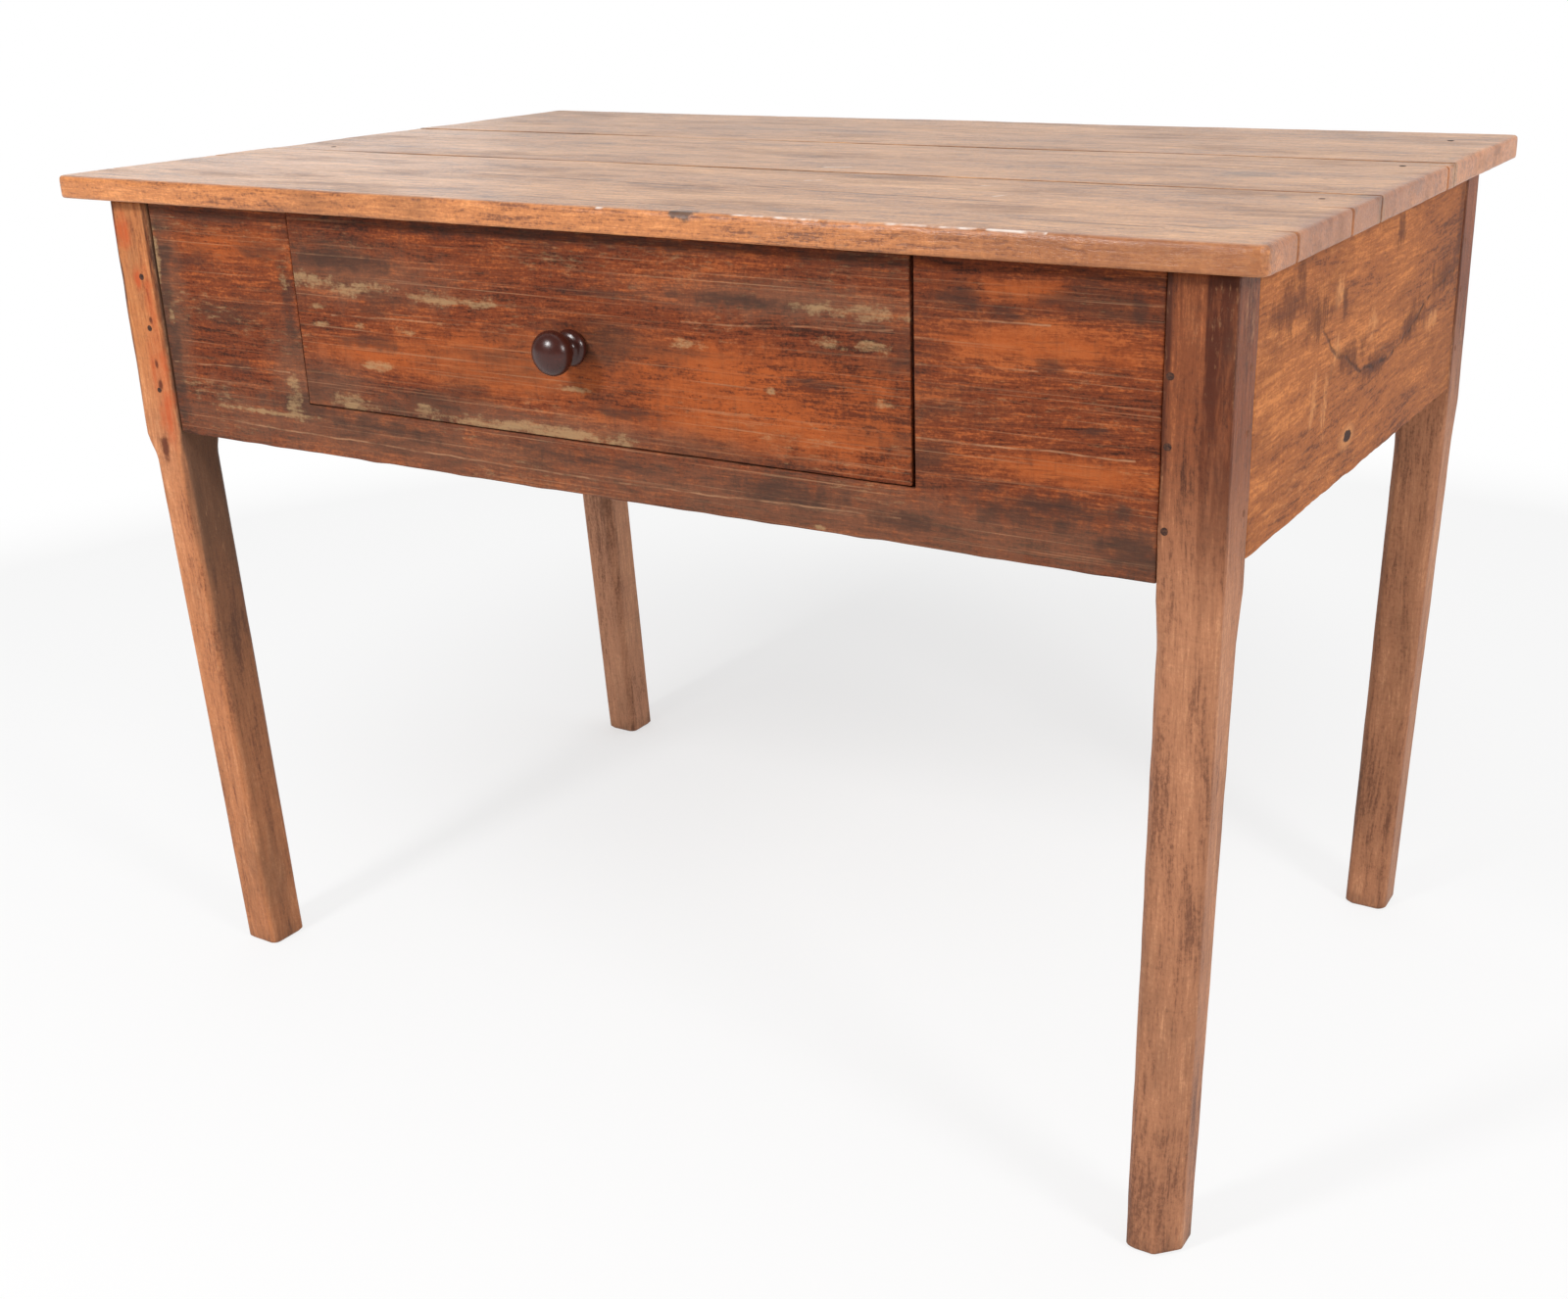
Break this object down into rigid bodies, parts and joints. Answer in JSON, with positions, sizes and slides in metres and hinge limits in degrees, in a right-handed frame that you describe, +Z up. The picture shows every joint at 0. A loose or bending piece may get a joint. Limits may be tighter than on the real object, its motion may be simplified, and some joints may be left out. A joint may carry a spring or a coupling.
{
  "type": "tavern table",
  "caption": "Rustic plank-top table on chamfered, slightly tapered legs with pegged aprons, and a wide dovetailed drawer that slides out by a turned knob.",
  "frame": {"origin": "on the floor, under the middle of the table's bounding box, knob included", "axes": "+Z up, +X along the table's length towards its right end, +Y towards the back, so the drawer opens along -Y"},
  "size_m": [1.113, 0.728, 0.77],
  "materials": {
    "top_wood": "worn, dry, with a dull sheen",
    "leg_wood": "old worn finish",
    "apron_wood": "dark stained, scuffed",
    "side_apron_wood": "faded stain",
    "peg_wood": "dark end grain",
    "inner_wood": "bare, unfinished",
    "knob_wood": "polished dark hardwood",
    "nail_iron": "rusted, dull"
  },
  "bodies": {
    "frame": {"top_plank_front": "top_wood", "top_plank_middle": "top_wood", "top_plank_back": "top_wood", "seam_dowels": "inner_wood", "top_nails": "nail_iron", "leg_front_left": "leg_wood", "leg_front_right": "leg_wood", "leg_back_left": "leg_wood", "leg_back_right": "leg_wood", "front_apron": "apron_wood", "back_apron": "apron_wood", "left_apron": "side_apron_wood", "right_apron": "side_apron_wood", "front_apron_pegs": "peg_wood", "back_apron_pegs": "peg_wood", "left_apron_pegs": "peg_wood", "right_apron_pegs": "peg_wood", "drawer_runner_left": "inner_wood", "drawer_runner_right": "inner_wood", "drawer_guide_left": "inner_wood", "drawer_guide_right": "inner_wood", "guide_nails": "nail_iron", "drawer_stop_left": "inner_wood", "drawer_stop_right": "inner_wood"},
    "drawer": {"drawer_front": "apron_wood", "drawer_side_left": "inner_wood", "drawer_side_right": "inner_wood", "drawer_back": "inner_wood", "drawer_bottom_front": "inner_wood", "drawer_bottom_back": "inner_wood", "drawer_bottom_nails": "nail_iron", "drawer_knob": "knob_wood", "knob_wedge": "peg_wood"}
  },
  "joints": [
    {"name": "drawer_slide", "type": "slide", "parent": "frame", "child": "drawer", "axis": [0, -1, 0], "range_m": [0, 0.42]}
  ]
}
